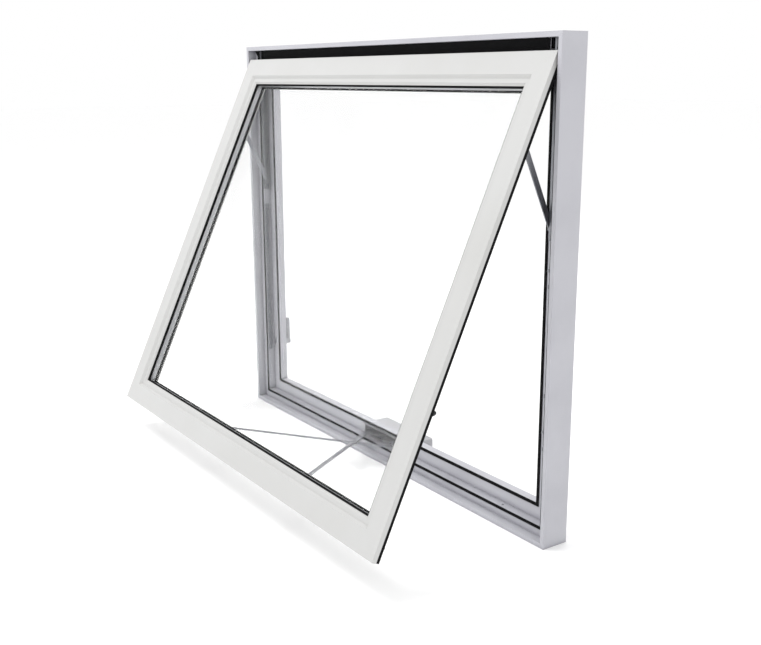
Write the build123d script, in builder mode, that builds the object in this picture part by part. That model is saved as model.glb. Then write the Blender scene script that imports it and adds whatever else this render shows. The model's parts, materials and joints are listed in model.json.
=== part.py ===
"""Top-hung (awning) crank window: frame, glazed sash, projecting stays, locks and a two-arm operator.

Millimetres, +Z up, +Y into the building, X to the right seen from outside.
The origin is the middle of the sill's underside.  The model stands in its open pose.
"""
from build123d import *
import math
import os

os.makedirs("parts", exist_ok=True)

# ---------------------------------------------------------------- driving dimensions
FRAME_WIDTH = 1220.0
FRAME_HEIGHT = 1010.0
FRAME_DEPTH = 64.0
OPEN_ANGLE = 24.8            # the sash's opening, bottom edge outwards

# frame section: u runs from the outer edge towards the opening, d from the exterior face inwards
LIP = 10.0                   # front lip, in u
REBATE_1 = 22.0              # depth of the first rebate, in d
STEP_1 = 33.0                # inner edge of the first riser, in u
REBATE_2 = 43.0              # depth of the second rebate, in d
FRAME_FACE = 68.0            # full section height, in u
FRAME_WALL = 3.0

# sash section, on the same two axes, from the sash's own outer edge and exterior face
SASH_GAP = 4.0               # all round, sash to front lip
FLANGE_LAP = 23.0            # how far the outer flange laps past the body
FLANGE_DEPTH = 17.0
FLANGE_EDGE = 10.0           # white edge of the flange, in d; the edge gasket fills the rest
EDGE_SEAL = 4.0              # width of that gasket, in u
GROOVE_DEPTH = 12.0          # hardware groove in the stiles, in u
GROOVE_FROM = 20.0           # where the groove starts, in d
FLAT_FACE = 46.0             # flat exterior face before the bevel
BEVEL = 6.0
SASH_FACE = 66.0             # full visible rail and stile width
SASH_DEPTH = 40.0
SASH_WALL = 3.0
INNER_LEG = 6.0              # leg behind the glass, in d

# glazing
BEAD_LEDGE = 9.0
BEAD_NOSE = 3.5
GLASS_FROM = 13.0            # exterior glass face, in d
PANE = 4.0
CAVITY = 12.0
BLOCK_HEIGHT = 2.0           # setting blocks below the glass
SPACER_INSET = 6.0
SPACER_HEIGHT = 7.0
GASKET_SHOW = 4.0            # gasket seen beyond the bead

# projecting stays
STAY_ARM = 174.0             # pivot to pivot
STAY_DEPTH = 30.0            # pivot line behind the exterior face
STAY_BELOW_TOP = 2.5         # slider pivot below the sash's top edge
STAY_WIDTH = 12.0
PLATE = 2.5                  # steel bar thickness of stays and operator arms
PIVOT_R = 4.0
RUNNING = 0.05               # radial clearance of a running fit
TRACK_LIP = 5.0
TRACK_WALL = 1.2
RIVET_COLLAR_R = 6.0

# operator
HUB_SPREAD = 60.0            # arm pivots, each side of the middle
HUB_DEPTH = 53.0
ARM_OFFSET = 20.0            # pivot to arm centre line
ARM_OPEN = 52.0              # arm swing from stowed to open
ARM_WIDTH = 9.0
ARM_ROOT_WIDTH = 13.0
ARM_ROOT_LENGTH = 135.0
TRACK_DEPTH = 32.7           # roller line behind the sash's exterior face
TRACK_HEIGHT = 42.6          # underside of the lower arm in the sash channel, closed
ROLLER_R = 3.0
WORM_R = 5.0
HOUSING_WIDTH = 200.0
HOUSING_DEPTH = 46.0
HOUSING_LOW = 24.0
HOUSING_HIGH = 62.0
HOUSING_WALL = 2.5
CRANK_REACH = 76.0
CRANK_REST = 60.0            # how far above level the crank stands at rest
SLOT_HALF = 99.0
SLOT_LOW = 34.5
SLOT_HIGH = 58.0

# locks
LOCK_HEIGHT = 175.0          # handle pivot above the sill's underside
LOCK_STUD = 232.0            # lower stud, unlocked
STUD_BELOW_TRACK = 60.0      # upper stud below the stay track
LOCK_THROW = 18.0
LOCK_LEVER = 62.0
LOCK_BAR = 12.0
SPINDLE_R = 3.5

# ---------------------------------------------------------------- derived sizes
SASH_WIDTH = FRAME_WIDTH - 2 * (LIP + SASH_GAP)
SASH_HEIGHT = FRAME_HEIGHT - 2 * (LIP + SASH_GAP)
SASH_LOW = LIP + SASH_GAP
SASH_TOP = SASH_LOW + SASH_HEIGHT
REBATE_U = FLAT_FACE + BEVEL
GLASS_EDGE = REBATE_U + BLOCK_HEIGHT
GLASS_TO = GLASS_FROM + 2 * PANE + CAVITY
CLEAR = 0.3                  # between pieces that only lie beside each other

# ---------------------------------------------------------------- reference planes
frame_base = Plane(origin=(0, -FRAME_DEPTH / 2, 0), x_dir=(1, 0, 0), z_dir=(0, 0, 1))
tilt = math.radians(OPEN_ANGLE)
slider_closed = SASH_TOP - STAY_BELOW_TOP
stay_foot = slider_closed - 2 * STAY_ARM
slider_open = stay_foot + 2 * STAY_ARM * math.cos(tilt)


def carried(depth, height):
    """Where a point of the closed sash stands when the sash is open, as depth and height."""
    back, down = depth - STAY_DEPTH, slider_closed - height
    return (STAY_DEPTH + back * math.cos(tilt) - down * math.sin(tilt),
            slider_open - back * math.sin(tilt) - down * math.cos(tilt))


def turned(base, direction):
    """A direction given on a reference plane's own axes."""
    x, y, z = direction
    return base.x_dir * x + base.y_dir * y + base.z_dir * z


def at(base, spot, x_dir=(1, 0, 0), z_dir=(0, 0, 1)):
    """A plane at a spot of a reference plane, with directions on that plane's axes."""
    return Plane(origin=base.from_local_coords(spot), x_dir=turned(base, x_dir), z_dir=turned(base, z_dir))


sash_origin = carried(0, 0)
sash_base = Plane(
    origin=frame_base.from_local_coords((0, sash_origin[0], sash_origin[1])),
    x_dir=(1, 0, 0),
    z_dir=(0, math.sin(tilt), math.cos(tilt)),
)
ACROSS = dict(x_dir=(0, 1, 0), z_dir=(1, 0, 0))      # sketch x is depth, sketch y is height
INWARD = dict(x_dir=(1, 0, 0), z_dir=(0, -1, 0))     # sketch x is X, sketch y is height


def finish(name, solid):
    """Name a piece and write it."""
    solid.label = name
    export_step(solid, f"parts/{name}.step")


def gathered(solids):
    """Several separate solids as one piece."""
    with BuildPart() as group:
        for solid in solids:
            add(solid)
    return group.part


# ---------------------------------------------------------------- mitred members and rings
SIDES = {"head": (0, -1), "sill": (0, 1), "jamb_left": (1, 0), "jamb_right": (-1, 0)}


def member(base, low, width, height, toward, outline, chambers=()):
    """One mitred member of a rectangular ring.  toward is its u direction in X and Z."""
    upright = toward[0] != 0
    half_run = (height if upright else width) / 2
    edge = (-toward[0] * width / 2, 0, low + height / 2 - toward[1] * height / 2)
    section = at(base, edge, x_dir=(toward[0], 0, toward[1]), z_dir=(-toward[1], 0, toward[0]))
    with BuildPart() as bar:
        with BuildSketch(section):
            with BuildLine():
                Polyline(*outline, close=True)
            make_face()
            for (u1, d1), (u2, d2) in chambers:
                with Locations(((u1 + u2) / 2, (d1 + d2) / 2)):
                    Rectangle(u2 - u1, d2 - d1, mode=Mode.SUBTRACT)
        extrude(amount=half_run, both=True)
        for end in (1, -1):
            split(bisect_by=at(section, (0, 0, end * half_run), (0, 1, 0), (1, 0, end)), keep=Keep.BOTTOM)
    return bar.part


def ring(base, low, width, height, outline):
    """A closed ring of one section, with mitred corners."""
    with BuildPart() as loop:
        for toward in SIDES.values():
            add(member(base, low, width, height, toward, outline))
    return loop.part


def box(u1, d1, u2, d2):
    """A rectangular section."""
    return [(u1, d1), (u2, d1), (u2, d2), (u1, d2)]


# ---------------------------------------------------------------- outer frame
frame_outline = [
    (0, 0), (LIP, 0), (LIP, REBATE_1), (STEP_1, REBATE_1), (STEP_1, REBATE_2),
    (FRAME_FACE, REBATE_2), (FRAME_FACE, FRAME_DEPTH), (0, FRAME_DEPTH),
]
w = FRAME_WALL
frame_chambers = [
    ((w, w), (LIP - w, REBATE_1)),
    ((w, REBATE_1 + w), (STEP_1 - w, FRAME_DEPTH - w)),
    ((STEP_1, REBATE_2 + w), (FRAME_FACE - w, FRAME_DEPTH - w)),
]
NOTCH_WIDTH = 20.0           # stay notch in the head, inwards from the jamb's second ledge
NOTCH_HEIGHT = 27.0
FIXING_R = 2.75
FIXING_SPACING = 900.0
COVER_SCREW_X = HOUSING_WIDTH / 2 + 8.0
SCREW_R = 1.9
SCREW_HEAD_R = 3.6
SCREW_HEAD = 1.2
SCREW_LENGTH = 12.0
LOCK_IN = 8.0                # lock spindle, inwards from the jamb's second ledge
jamb_ledge = FRAME_WIDTH / 2 - STEP_1
lock_x = jamb_ledge - LOCK_IN

for side_name, toward in SIDES.items():
    blank = member(frame_base, 0, FRAME_WIDTH, FRAME_HEIGHT, toward, frame_outline, frame_chambers)
    with BuildPart() as bar:
        add(blank)
        if side_name == "head":
            with BuildSketch(at(frame_base, (0, REBATE_1, 0), **INWARD)):
                for side in (-1, 1):
                    with Locations((side * (jamb_ledge - NOTCH_WIDTH / 2),
                                    FRAME_HEIGHT - STEP_1 + NOTCH_HEIGHT / 2)):
                        Rectangle(NOTCH_WIDTH, NOTCH_HEIGHT)
            extrude(amount=-(REBATE_2 - REBATE_1), mode=Mode.SUBTRACT)
            with BuildSketch(at(frame_base, (0, FRAME_DEPTH / 2, FRAME_HEIGHT))):
                with Locations((-FIXING_SPACING / 2, 0), (FIXING_SPACING / 2, 0)):
                    Circle(FIXING_R)
            extrude(amount=-STEP_1, mode=Mode.SUBTRACT)
        elif side_name == "sill":
            with BuildSketch(at(frame_base, (0, REBATE_2 - 1, (SLOT_LOW + SLOT_HIGH) / 2), **INWARD)):
                Rectangle(2 * SLOT_HALF, SLOT_HIGH - SLOT_LOW)
            extrude(amount=-(FRAME_DEPTH - REBATE_2 + 2), mode=Mode.SUBTRACT)
            with BuildSketch(at(frame_base, (0, FRAME_DEPTH, (HOUSING_LOW + HOUSING_HIGH) / 2), **INWARD)):
                with Locations((-COVER_SCREW_X, 0), (COVER_SCREW_X, 0)):
                    Circle(SCREW_R)
            extrude(amount=FRAME_WALL + 1, mode=Mode.SUBTRACT)
            with BuildSketch(at(frame_base, (0, FRAME_DEPTH / 2, 0))):
                with Locations((-FIXING_SPACING / 2, 0), (FIXING_SPACING / 2, 0)):
                    Circle(FIXING_R)
            extrude(amount=STEP_1, mode=Mode.SUBTRACT)
        else:
            side = -toward[0]
            with BuildSketch(at(frame_base, (side * lock_x, FRAME_DEPTH, LOCK_HEIGHT), **INWARD)):
                Circle(SPINDLE_R + RUNNING)
            extrude(amount=FRAME_DEPTH - REBATE_2 + 1, mode=Mode.SUBTRACT)
    finish(f"frame_{side_name}", bar.part)

KEY_LEG = 60.0
KEY_GAP = 0.4
with BuildPart() as frame_corner_keys:
    for side in (-1, 1):
        for high in (0, 1):
            corner = (side * (FRAME_WIDTH / 2 - w - KEY_GAP), REBATE_2 + w + KEY_GAP,
                      high * FRAME_HEIGHT + (1 - 2 * high) * (w + KEY_GAP))
            rise = 1 - 2 * high
            thick = STEP_1 - 2 * w - 2 * KEY_GAP
            with BuildSketch(at(frame_base, corner, **INWARD)):
                with BuildLine():
                    Polyline((0, 0), (-side * KEY_LEG, 0), (-side * KEY_LEG, rise * thick),
                             (-side * thick, rise * thick), (-side * thick, rise * KEY_LEG),
                             (0, rise * KEY_LEG), close=True)
                make_face()
            extrude(amount=-(FRAME_DEPTH - REBATE_2 - 2 * w - 2 * KEY_GAP))
finish("frame_corner_keys", frame_corner_keys.part)

SEAL = 7.0
outer_seal = [(STEP_1 - SEAL, REBATE_1), (STEP_1 - SEAL, REBATE_1 - 1.5), (STEP_1 - SEAL + 2, REBATE_1 - 2.2),
              (STEP_1 - 2, REBATE_1 - 2.2), (STEP_1 - 0.5, REBATE_1 - 1.5), (STEP_1 - 0.5, REBATE_1)]
inner_seal = [(FRAME_FACE - SEAL, REBATE_2), (FRAME_FACE - SEAL, REBATE_2 - 2), (FRAME_FACE - SEAL + 1, REBATE_2 - 2.6),
              (FRAME_FACE - 1, REBATE_2 - 2.6), (FRAME_FACE, REBATE_2 - 1.6), (FRAME_FACE, REBATE_2)]
with BuildPart() as outer_strip:
    add(ring(frame_base, 0, FRAME_WIDTH, FRAME_HEIGHT, outer_seal))
    add(member(frame_base, 0, FRAME_WIDTH, FRAME_HEIGHT, SIDES["head"],
               box(LIP + CLEAR, REBATE_1 - 1.5, STEP_1 - SEAL, REBATE_1)))
    with BuildSketch(at(frame_base, (0, 0, FRAME_HEIGHT - STEP_1), **INWARD)):
        for side in (-1, 1):
            with Locations((side * (jamb_ledge - NOTCH_WIDTH / 2), 0)):
                Rectangle(NOTCH_WIDTH, 2 * NOTCH_HEIGHT)
    extrude(amount=-REBATE_1, mode=Mode.SUBTRACT)
finish("weatherstrip_outer", outer_strip.part)
finish("weatherstrip_inner", ring(frame_base, 0, FRAME_WIDTH, FRAME_HEIGHT, inner_seal))

# ---------------------------------------------------------------- sash members
s = SASH_WALL
groove_u = FLANGE_LAP + GROOVE_DEPTH
leg_from = SASH_DEPTH - INNER_LEG
face_side = [(0, 0), (FLAT_FACE, 0), (REBATE_U, BEVEL), (REBATE_U, leg_from), (SASH_FACE, leg_from),
             (SASH_FACE, SASH_DEPTH)]
sash_outline = face_side + [
    (groove_u, SASH_DEPTH), (groove_u, GROOVE_FROM), (FLANGE_LAP, GROOVE_FROM),
    (FLANGE_LAP, FLANGE_DEPTH), (EDGE_SEAL, FLANGE_DEPTH), (EDGE_SEAL, FLANGE_EDGE), (0, FLANGE_EDGE),
]
sash_chambers = [
    ((EDGE_SEAL + s, s), (FLANGE_LAP - s, FLANGE_DEPTH - s)),
    ((FLANGE_LAP + s, s), (FLAT_FACE - s, FLANGE_DEPTH - s)),
    ((groove_u + s, GROOVE_FROM), (REBATE_U - s, SASH_DEPTH - s)),
]
FLOOR = 2.5                  # floor of the bottom rail's operator channel
CHANNEL_ROOF = 1.5           # wall between the channel and the glazing rebate
CHANNEL_BACK = 3.0
channel_top = REBATE_U - CHANNEL_ROOF
rail_outline = face_side + [
    (channel_top, SASH_DEPTH), (channel_top, BEVEL + 2.5), (FLAT_FACE, CHANNEL_BACK),
    (FLANGE_LAP + FLOOR, CHANNEL_BACK), (FLANGE_LAP + FLOOR, SASH_DEPTH), (FLANGE_LAP, SASH_DEPTH),
    (FLANGE_LAP, FLANGE_DEPTH), (EDGE_SEAL, FLANGE_DEPTH), (EDGE_SEAL, FLANGE_EDGE), (0, FLANGE_EDGE),
]
rail_chambers = [((EDGE_SEAL + s, s), (FLANGE_LAP - s, FLANGE_DEPTH - s))]
sash_names = {"head": "sash_top_rail", "sill": "sash_bottom_rail",
              "jamb_left": "sash_stile_left", "jamb_right": "sash_stile_right"}
NOTCH_HALF = 90.0            # operator notch in the bottom rail's channel floor
ARM_SCREWS = (0.3, 0.6, 1.1)  # sash arm screws below the slider pivot, as shares of the stay arm

for side_name, toward in SIDES.items():
    low_rail = side_name == "sill"
    outline, chambers = (rail_outline, rail_chambers) if low_rail else (sash_outline, sash_chambers)
    blank = member(sash_base, SASH_LOW, SASH_WIDTH, SASH_HEIGHT, toward, outline, chambers)
    with BuildPart() as bar:
        add(blank)
        if low_rail:
            with BuildSketch(at(sash_base, (0, GROOVE_FROM, SASH_LOW + FLANGE_LAP), **INWARD)):
                Rectangle(2 * NOTCH_HALF, 4 * FLOOR)
            extrude(amount=-SASH_DEPTH, mode=Mode.SUBTRACT)
        elif toward[0]:
            inner = -toward[0] * (SASH_WIDTH / 2 - groove_u)
            with BuildSketch(at(sash_base, (inner, STAY_DEPTH, SASH_TOP - STAY_BELOW_TOP), **ACROSS)):
                with Locations(*[(0, -share * STAY_ARM) for share in ARM_SCREWS]):
                    Circle(SCREW_R)
            extrude(amount=toward[0] * SCREW_LENGTH, mode=Mode.SUBTRACT)
    finish(sash_names[side_name], bar.part)

with BuildPart() as sash_corner_keys:
    for side in (-1, 1):
        for high in (0, 1):
            rise = 1 - 2 * high
            key_in = EDGE_SEAL + s + KEY_GAP
            corner = (side * (SASH_WIDTH / 2 - key_in), s + KEY_GAP,
                      (SASH_TOP if high else SASH_LOW) + rise * key_in)
            thick = FLANGE_LAP - s - KEY_GAP - key_in
            with BuildSketch(at(sash_base, corner, **INWARD)):
                with BuildLine():
                    Polyline((0, 0), (-side * KEY_LEG, 0), (-side * KEY_LEG, rise * thick),
                             (-side * thick, rise * thick), (-side * thick, rise * KEY_LEG),
                             (0, rise * KEY_LEG), close=True)
                make_face()
            extrude(amount=-(FLANGE_DEPTH - 2 * s - 2 * KEY_GAP))
finish("sash_corner_keys", sash_corner_keys.part)

# ---------------------------------------------------------------- glazing
sash_ring = (sash_base, SASH_LOW, SASH_WIDTH, SASH_HEIGHT)
nose = REBATE_U + BEAD_LEDGE
bead_outline = [(REBATE_U, BEVEL), (nose, BEVEL), (nose + BEAD_NOSE, BEVEL + BEAD_NOSE),
                (SASH_FACE, BEVEL + BEAD_NOSE), (SASH_FACE, GLASS_FROM - 1), (REBATE_U, GLASS_FROM - 1)]
for side_name, toward in SIDES.items():
    bead_name = {"head": "top", "sill": "bottom", "jamb_left": "left", "jamb_right": "right"}[side_name]
    finish(f"glazing_bead_{bead_name}", member(*sash_ring, toward, bead_outline))

gasket_edge = SASH_FACE + GASKET_SHOW
exterior_gasket = [(GLASS_EDGE + 4, GLASS_FROM - 1), (SASH_FACE, GLASS_FROM - 1), (SASH_FACE, GLASS_FROM - 3),
                   (SASH_FACE + 1.5, GLASS_FROM - 3), (gasket_edge, GLASS_FROM - 0.8), (gasket_edge, GLASS_FROM),
                   (GLASS_EDGE + 4, GLASS_FROM)]
interior_gasket = [(GLASS_EDGE + 4, GLASS_TO), (gasket_edge, GLASS_TO), (gasket_edge, GLASS_TO + 1),
                   (SASH_FACE + 1.5, GLASS_TO + 3.5), (SASH_FACE, GLASS_TO + 3.5), (SASH_FACE, leg_from),
                   (GLASS_EDGE + 4, leg_from)]
finish("glazing_gasket_exterior", ring(*sash_ring, exterior_gasket))
finish("glazing_gasket_interior", ring(*sash_ring, interior_gasket))

glass_size = (SASH_WIDTH - 2 * GLASS_EDGE, SASH_HEIGHT - 2 * GLASS_EDGE)
for pane_name, from_face in (("glass_outer", GLASS_FROM), ("glass_inner", GLASS_FROM + PANE + CAVITY)):
    with BuildPart() as pane:
        with BuildSketch(at(sash_base, (0, from_face, SASH_LOW + SASH_HEIGHT / 2), **INWARD)):
            Rectangle(*glass_size)
        extrude(amount=-PANE)
    finish(pane_name, pane.part)

cavity_from = GLASS_FROM + PANE
spacer_u = GLASS_EDGE + SPACER_INSET
finish("glass_spacer", ring(*sash_ring, box(spacer_u, cavity_from, spacer_u + SPACER_HEIGHT, cavity_from + CAVITY)))
finish("sash_edge_gasket", ring(*sash_ring, box(0.4, FLANGE_EDGE, EDGE_SEAL, FLANGE_DEPTH)))

BLOCK_LENGTH = 100.0
with BuildPart() as setting_blocks:
    for side in (-1, 1):
        middle = (side * glass_size[0] / 4, GLASS_FROM + 1, SASH_LOW + REBATE_U + BLOCK_HEIGHT / 2)
        with BuildSketch(at(sash_base, middle, **INWARD)):
            Rectangle(BLOCK_LENGTH, BLOCK_HEIGHT)
        extrude(amount=-(GLASS_TO - GLASS_FROM - 2))
finish("setting_blocks", setting_blocks.part)

# ---------------------------------------------------------------- projecting stays
track_floor = jamb_ledge - PLATE
track_mouth = jamb_ledge - PLATE - TRACK_LIP
arm_far = track_mouth - 0.5
arm_near = arm_far - PLATE
groove_face = SASH_WIDTH / 2 - groove_u
sash_arm_far = groove_face + PLATE
TRACK_WIDTH = 15.0
MOUTH_WIDTH = 9.0
TRACK_LOW = 22.0             # track below the fixed pivot
SHOE_LENGTH = 34.0
SHOE_ABOVE = 6.0             # shoe above its pivot
SASH_ARM_PAST = 30.0         # sash arm below its lower pivot
SASH_ARM_ABOVE = 6.0
track_length = slider_closed + SHOE_ABOVE + 1 - (stay_foot - TRACK_LOW)
stay_direction = (0, -math.sin(tilt), math.cos(tilt))


def slot_bar(plane, length, width, thick, holes, hole_r):
    """A round-ended flat bar along the plane's y from its origin, with cross holes, extruded along z."""
    with BuildPart() as bar:
        with BuildSketch(plane):
            with Locations((0, length / 2)):
                Rectangle(width, length)
            with Locations((0, 0), (0, length)):
                Circle(width / 2)
            with Locations(*[(0, along) for along in holes]):
                Circle(hole_r, mode=Mode.SUBTRACT)
        extrude(amount=thick)
    return bar.part


def pins(plane, steps):
    """A stepped pin along the plane's z: steps are (start, end, radius)."""
    with BuildPart() as pin:
        for start, end, radius in steps:
            with BuildSketch(plane.offset(start)):
                Circle(radius)
            extrude(amount=end - start)
    return pin.part


foot_rivets, arm_rivets = [], []
for side, hand in ((-1, "left"), (1, "right")):
    out = (side, 0, 0)
    rail_section = at(frame_base, (0, STAY_DEPTH, stay_foot - TRACK_LOW), x_dir=(1, 0, 0), z_dir=(0, 0, 1))
    half, mouth = TRACK_WIDTH / 2, MOUTH_WIDTH / 2
    with BuildPart() as stay_track:
        with BuildSketch(rail_section):
            with BuildLine():
                Polyline((side * jamb_ledge, -half), (side * track_mouth, -half), (side * track_mouth, -mouth),
                         (side * (track_mouth + TRACK_WALL), -mouth),
                         (side * (track_mouth + TRACK_WALL), -half + TRACK_WALL),
                         (side * track_floor, -half + TRACK_WALL), (side * track_floor, half - TRACK_WALL),
                         (side * (track_mouth + TRACK_WALL), half - TRACK_WALL),
                         (side * (track_mouth + TRACK_WALL), mouth), (side * track_mouth, mouth),
                         (side * track_mouth, half), (side * jamb_ledge, half), close=True)
            make_face()
        extrude(amount=track_length)
    finish(f"stay_track_{hand}", stay_track.part)

    foot = at(frame_base, (0, STAY_DEPTH, stay_foot), x_dir=(0, 1, 0), z_dir=out)
    foot_rivets.append(pins(foot, [
        (arm_near - 1.5, arm_near - CLEAR / 2, RIVET_COLLAR_R), (arm_near - CLEAR / 2, track_floor, PIVOT_R)]))

    bar_plane = Plane(origin=foot.from_local_coords((0, 0, arm_near)), z_dir=out,
                      x_dir=Vector(*stay_direction).cross(Vector(*out)))
    finish(f"support_arm_{hand}", slot_bar(bar_plane, STAY_ARM, STAY_WIDTH, PLATE, (0, STAY_ARM),
                                           PIVOT_R + RUNNING))

    slider = at(frame_base, (0, STAY_DEPTH, slider_open), x_dir=(0, 1, 0), z_dir=out)
    with BuildPart() as stay_shoe:
        with BuildSketch(slider.offset(track_mouth + TRACK_WALL + CLEAR)):
            with Locations((0, side * (SHOE_ABOVE - SHOE_LENGTH / 2))):
                Rectangle(TRACK_WIDTH - 2 * TRACK_WALL - 2 * CLEAR, SHOE_LENGTH)
            Circle(PIVOT_R + RUNNING, mode=Mode.SUBTRACT)
        extrude(amount=track_floor - track_mouth - TRACK_WALL - 2 * CLEAR)
    finish(f"stay_shoe_{hand}", stay_shoe.part)

    sash_arm_top = slider_closed + SASH_ARM_ABOVE
    sash_arm_low = slider_closed - STAY_ARM - SASH_ARM_PAST
    with BuildPart() as sash_arm:
        with BuildSketch(at(sash_base, (side * groove_face, STAY_DEPTH, 0), x_dir=(0, side, 0), z_dir=out)):
            with Locations((0, (sash_arm_top + sash_arm_low) / 2)):
                RectangleRounded(STAY_WIDTH, sash_arm_top - sash_arm_low, 3)
            with Locations(*[(0, slider_closed - share * STAY_ARM) for share in ARM_SCREWS]):
                Circle(SCREW_R + RUNNING, mode=Mode.SUBTRACT)
        extrude(amount=PLATE)
    finish(f"sash_arm_{hand}", sash_arm.part)

    upper = at(sash_base, (0, STAY_DEPTH, slider_closed), x_dir=(0, 1, 0), z_dir=out)
    lower = at(sash_base, (0, STAY_DEPTH, slider_closed - STAY_ARM), x_dir=(0, 1, 0), z_dir=out)
    arm_rivets += [
        pins(upper, [(sash_arm_far, track_mouth - 0.4, RIVET_COLLAR_R),
                     (track_mouth - 0.4, track_floor - CLEAR, PIVOT_R)]),
        pins(lower, [(sash_arm_far, arm_near - CLEAR / 2, RIVET_COLLAR_R),
                     (arm_near - CLEAR / 2, arm_far + 0.2, PIVOT_R)]),
    ]

finish("stay_foot_rivets", gathered(foot_rivets))
finish("sash_arm_rivets", gathered(arm_rivets))

with BuildPart() as sash_arm_screws:
    for side in (-1, 1):
        for share in ARM_SCREWS:
            seat = at(sash_base, (side * sash_arm_far, STAY_DEPTH, slider_closed - share * STAY_ARM),
                      x_dir=(0, 1, 0), z_dir=(side, 0, 0))
            add(pins(seat, [(-SCREW_LENGTH, 0, SCREW_R), (0, SCREW_HEAD, SCREW_HEAD_R)]))
finish("sash_arm_screws", sash_arm_screws.part)

# ---------------------------------------------------------------- operator
roller_out, roller_up = carried(TRACK_DEPTH, TRACK_HEIGHT + PLATE / 2)
cant = math.radians(7.4)
for _ in range(20):
    hub_height = TRACK_HEIGHT + PLATE / 2 - ARM_OFFSET * math.sin(cant)
    cant = math.atan2(roller_up - hub_height, HUB_DEPTH - roller_out)
swing = math.radians(ARM_OPEN)
reach = math.hypot(HUB_DEPTH - roller_out, roller_up - hub_height)
arm_length = (reach - ARM_OFFSET * math.cos(swing)) / math.sin(swing)
operator_base_plane = at(frame_base, (0, HUB_DEPTH, hub_height), z_dir=(0, math.sin(cant), math.cos(cant)))

LEVEL_GAP = 0.5
HUB_PIN_R = 4.0
BOSS_R = 8.0
SECTOR = 5.0
SECTOR_MARGIN = 5.0
BASE_PLATE = 3.0
BASE_FRONT = 9.0
BUTTON = 1.8
lower_level = -PLATE / 2
upper_level = lower_level + PLATE + LEVEL_GAP
sector_level = upper_level + PLATE + LEVEL_GAP
sector_r = HUB_SPREAD - WORM_R - CLEAR
base_top = lower_level - LEVEL_GAP
pin_top = sector_level + SECTOR + CLEAR
cover_inside = HOUSING_WIDTH / 2 - HOUSING_WALL

for side, hand, level in ((1, "left", lower_level), (-1, "right", upper_level)):
    along = (-side * math.cos(swing), -math.sin(swing), 0)
    hub = at(operator_base_plane, (side * HUB_SPREAD, 0, 0), x_dir=along)
    bar_y = side * ARM_OFFSET
    with BuildPart() as arm:
        with BuildSketch(hub.offset(level)):
            Circle(BOSS_R)
            with BuildLine():
                Polyline((-BOSS_R, 0), (BOSS_R, 0), (ARM_OFFSET + BOSS_R, bar_y - side * ARM_ROOT_WIDTH / 2),
                         (ARM_ROOT_LENGTH, bar_y - side * ARM_ROOT_WIDTH / 2),
                         (ARM_ROOT_LENGTH + ARM_OFFSET, bar_y - side * ARM_WIDTH / 2),
                         (arm_length, bar_y - side * ARM_WIDTH / 2), (arm_length, bar_y + side * ARM_WIDTH / 2),
                         (ARM_ROOT_LENGTH + ARM_OFFSET, bar_y + side * ARM_WIDTH / 2),
                         (ARM_ROOT_LENGTH, bar_y + side * ARM_ROOT_WIDTH / 2),
                         (ARM_OFFSET / 2, bar_y + side * ARM_ROOT_WIDTH / 2), close=True)
            make_face()
            with Locations((arm_length, bar_y)):
                Circle(ARM_WIDTH / 2)
            Circle(HUB_PIN_R + RUNNING, mode=Mode.SUBTRACT)
        extrude(amount=PLATE)
    finish(f"operator_arm_{hand}", arm.part)

    tip = at(hub, (arm_length, bar_y, level))
    finish(f"arm_button_{hand}", pins(tip, [(-BUTTON, 0, ROLLER_R)]))

    far = sector_r * 1.5
    turn = [math.radians(a) for a in (SECTOR_MARGIN, -ARM_OPEN / 2, -ARM_OPEN - SECTOR_MARGIN)]
    with BuildPart() as gear_sector:
        with BuildSketch(hub.offset(sector_level)):
            Circle(sector_r)
            with BuildLine():
                Polyline((0, 0), *[(far * math.cos(a), side * far * math.sin(a)) for a in turn], close=True)
            make_face(mode=Mode.INTERSECT)
            Circle(BOSS_R)
            Circle(HUB_PIN_R + RUNNING, mode=Mode.SUBTRACT)
        extrude(amount=SECTOR)
        with BuildSketch(hub.offset(level + PLATE)):
            Circle(BOSS_R)
            Circle(HUB_PIN_R + RUNNING, mode=Mode.SUBTRACT)
        extrude(amount=sector_level - level - PLATE)
    finish(f"gear_sector_{hand}", gear_sector.part)

worm_axis = at(operator_base_plane, (0, 0, sector_level + SECTOR / 2), x_dir=(1, 0, 0), z_dir=(0, 1, 0))
SHAFT_R = 3.0
WORM_HALF = 9.0
LUG = (19.0, 25.0)
base_back = HOUSING_DEPTH + FRAME_DEPTH - HUB_DEPTH - HOUSING_WALL - 6.0
with BuildPart() as operator_base:
    with BuildSketch(operator_base_plane.offset(base_top)):
        with Locations((0, (base_back - BASE_FRONT) / 2)):
            Rectangle(2 * cover_inside, base_back + BASE_FRONT)
        with Locations((-HUB_SPREAD, 0), (HUB_SPREAD, 0)):
            Circle(HUB_PIN_R, mode=Mode.SUBTRACT)
    extrude(amount=-BASE_PLATE)
    for side, level in ((1, lower_level), (-1, upper_level)):
        with BuildSketch(operator_base_plane.offset(base_top)):
            with Locations((side * HUB_SPREAD, 0)):
                Circle(BOSS_R - 1)
                Circle(HUB_PIN_R, mode=Mode.SUBTRACT)
        extrude(amount=level - base_top - RUNNING)
    with BuildSketch(operator_base_plane.offset(base_top)):
        with Locations((0, (LUG[0] + LUG[1]) / 2)):
            Rectangle(2 * BOSS_R, LUG[1] - LUG[0])
    extrude(amount=pin_top - base_top)
    with BuildSketch(worm_axis):
        Circle(SHAFT_R + RUNNING)
    extrude(amount=LUG[1] + 1, mode=Mode.SUBTRACT)
finish("operator_base", operator_base.part)

with BuildPart() as hub_pins:
    for side in (-1, 1):
        hub = at(operator_base_plane, (side * HUB_SPREAD, 0, 0))
        add(pins(hub, [(base_top - BASE_PLATE, pin_top, HUB_PIN_R), (pin_top, pin_top + 1.5, HUB_PIN_R + 2.5)]))
finish("operator_hub_pins", hub_pins.part)

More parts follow.
